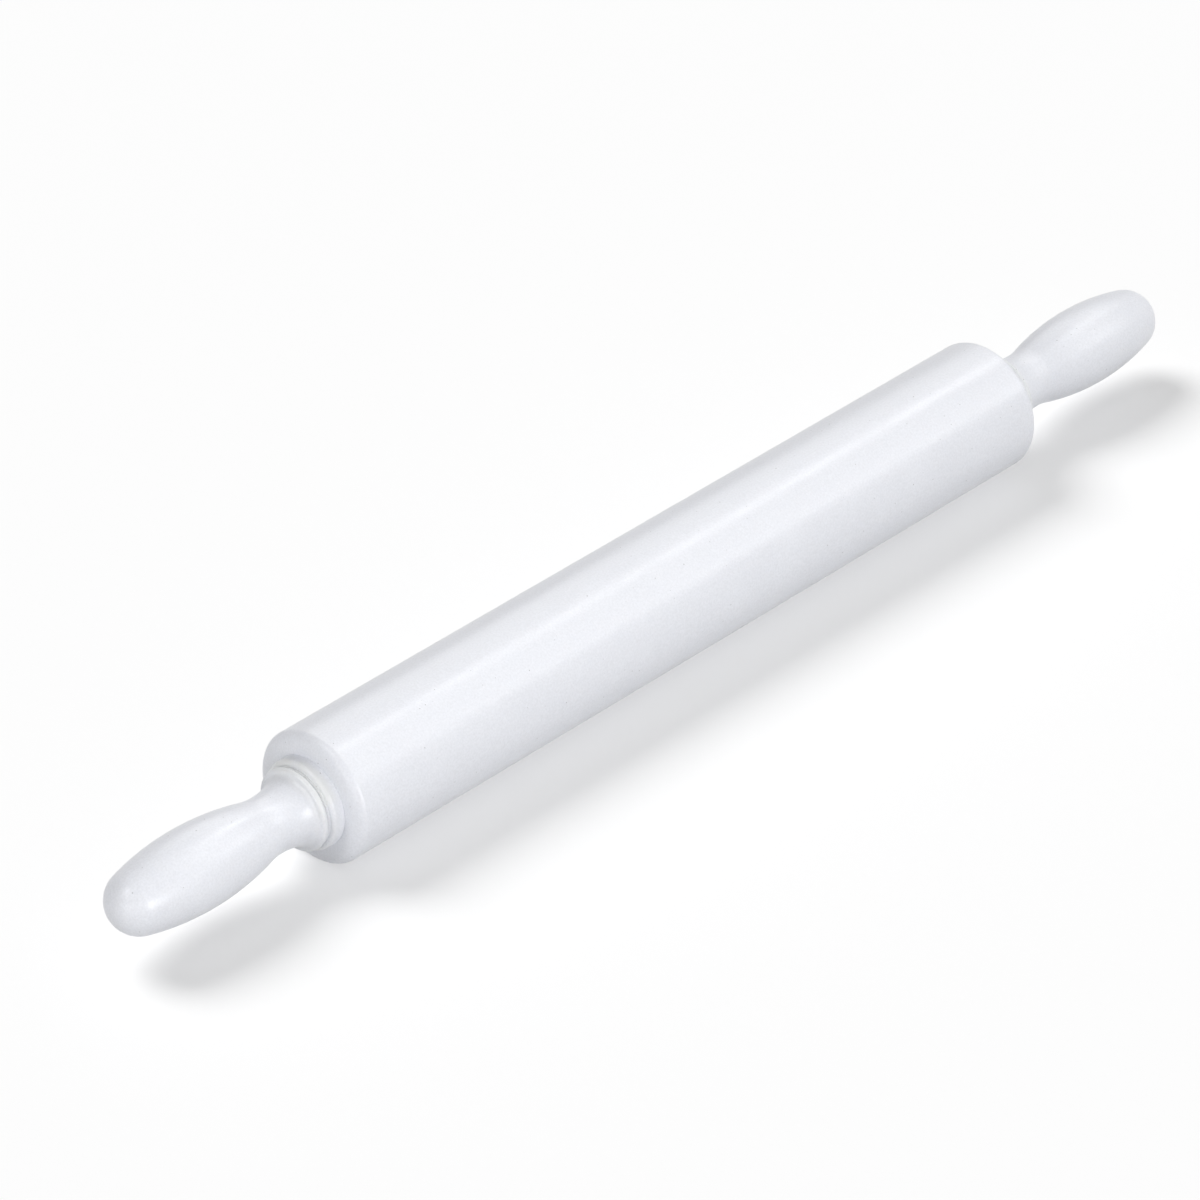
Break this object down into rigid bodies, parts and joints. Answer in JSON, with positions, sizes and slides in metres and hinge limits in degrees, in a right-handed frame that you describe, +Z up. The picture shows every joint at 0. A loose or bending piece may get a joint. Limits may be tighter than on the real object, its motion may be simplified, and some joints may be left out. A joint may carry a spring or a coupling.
{
  "type": "rolling pin",
  "caption": "Rolling pin of white polyethylene: a straight round barrel that spins on ball bearings around a steel axle, with a waisted, round-ended handle fixed at each end.",
  "frame": {"origin": "mid-length of the pin, below its axis, on the surface that the barrel lies on", "axes": "+X along the pin towards the right-hand handle, which is the far one in the picture, +Z up, and the barrel's spin axis is parallel to X at z = 0.02797 m"},
  "size_m": [0.607, 0.056, 0.0559],
  "materials": {
    "white_polyethylene": "satin, slightly waxy, turned smooth",
    "cage_nylon": "moulded",
    "seal_rubber": "moulded",
    "axle_steel": "turned",
    "bearing_steel": "ground",
    "insert_brass": "turned"
  },
  "bodies": {
    "axle": {"axle_rod": "axle_steel", "left_handle": "white_polyethylene", "left_threaded_insert": "insert_brass", "left_lock_nut": "axle_steel", "left_lock_washer": "axle_steel", "left_spacer_sleeve": "axle_steel", "left_bearing_inner_race": "bearing_steel", "right_handle": "white_polyethylene", "right_threaded_insert": "insert_brass", "right_lock_nut": "axle_steel", "right_lock_washer": "axle_steel", "right_spacer_sleeve": "axle_steel", "right_bearing_inner_race": "bearing_steel"},
    "barrel": {"barrel": "white_polyethylene", "left_end_cap": "white_polyethylene", "left_bearing_outer_race": "bearing_steel", "left_bearing_inboard_seal": "seal_rubber", "left_bearing_outboard_seal": "seal_rubber", "right_end_cap": "white_polyethylene", "right_bearing_outer_race": "bearing_steel", "right_bearing_inboard_seal": "seal_rubber", "right_bearing_outboard_seal": "seal_rubber"},
    "left_cage": {"left_bearing_cage": "cage_nylon", "left_bearing_ball_1": "bearing_steel", "left_bearing_ball_2": "bearing_steel", "left_bearing_ball_3": "bearing_steel", "left_bearing_ball_4": "bearing_steel", "left_bearing_ball_5": "bearing_steel", "left_bearing_ball_6": "bearing_steel", "left_bearing_ball_7": "bearing_steel"},
    "right_cage": {"right_bearing_cage": "cage_nylon", "right_bearing_ball_1": "bearing_steel", "right_bearing_ball_2": "bearing_steel", "right_bearing_ball_3": "bearing_steel", "right_bearing_ball_4": "bearing_steel", "right_bearing_ball_5": "bearing_steel", "right_bearing_ball_6": "bearing_steel", "right_bearing_ball_7": "bearing_steel"}
  },
  "joints": [
    {"name": "barrel_spin", "type": "hinge", "parent": "axle", "child": "barrel", "pos_m": [0, 0, 0.02797], "axis": [1, 0, 0], "continuous": true},
    {"name": "left_cage_spin", "type": "hinge", "parent": "axle", "child": "left_cage", "pos_m": [-0.193, 0, 0.02797], "axis": [1, 0, 0], "continuous": true},
    {"name": "right_cage_spin", "type": "hinge", "parent": "axle", "child": "right_cage", "pos_m": [0.193, 0, 0.02797], "axis": [1, 0, 0], "continuous": true}
  ],
  "couplings": [
    {"joint": "left_cage_spin", "follows": "barrel_spin", "ratio": 0.6323},
    {"joint": "right_cage_spin", "follows": "barrel_spin", "ratio": 0.6323}
  ]
}
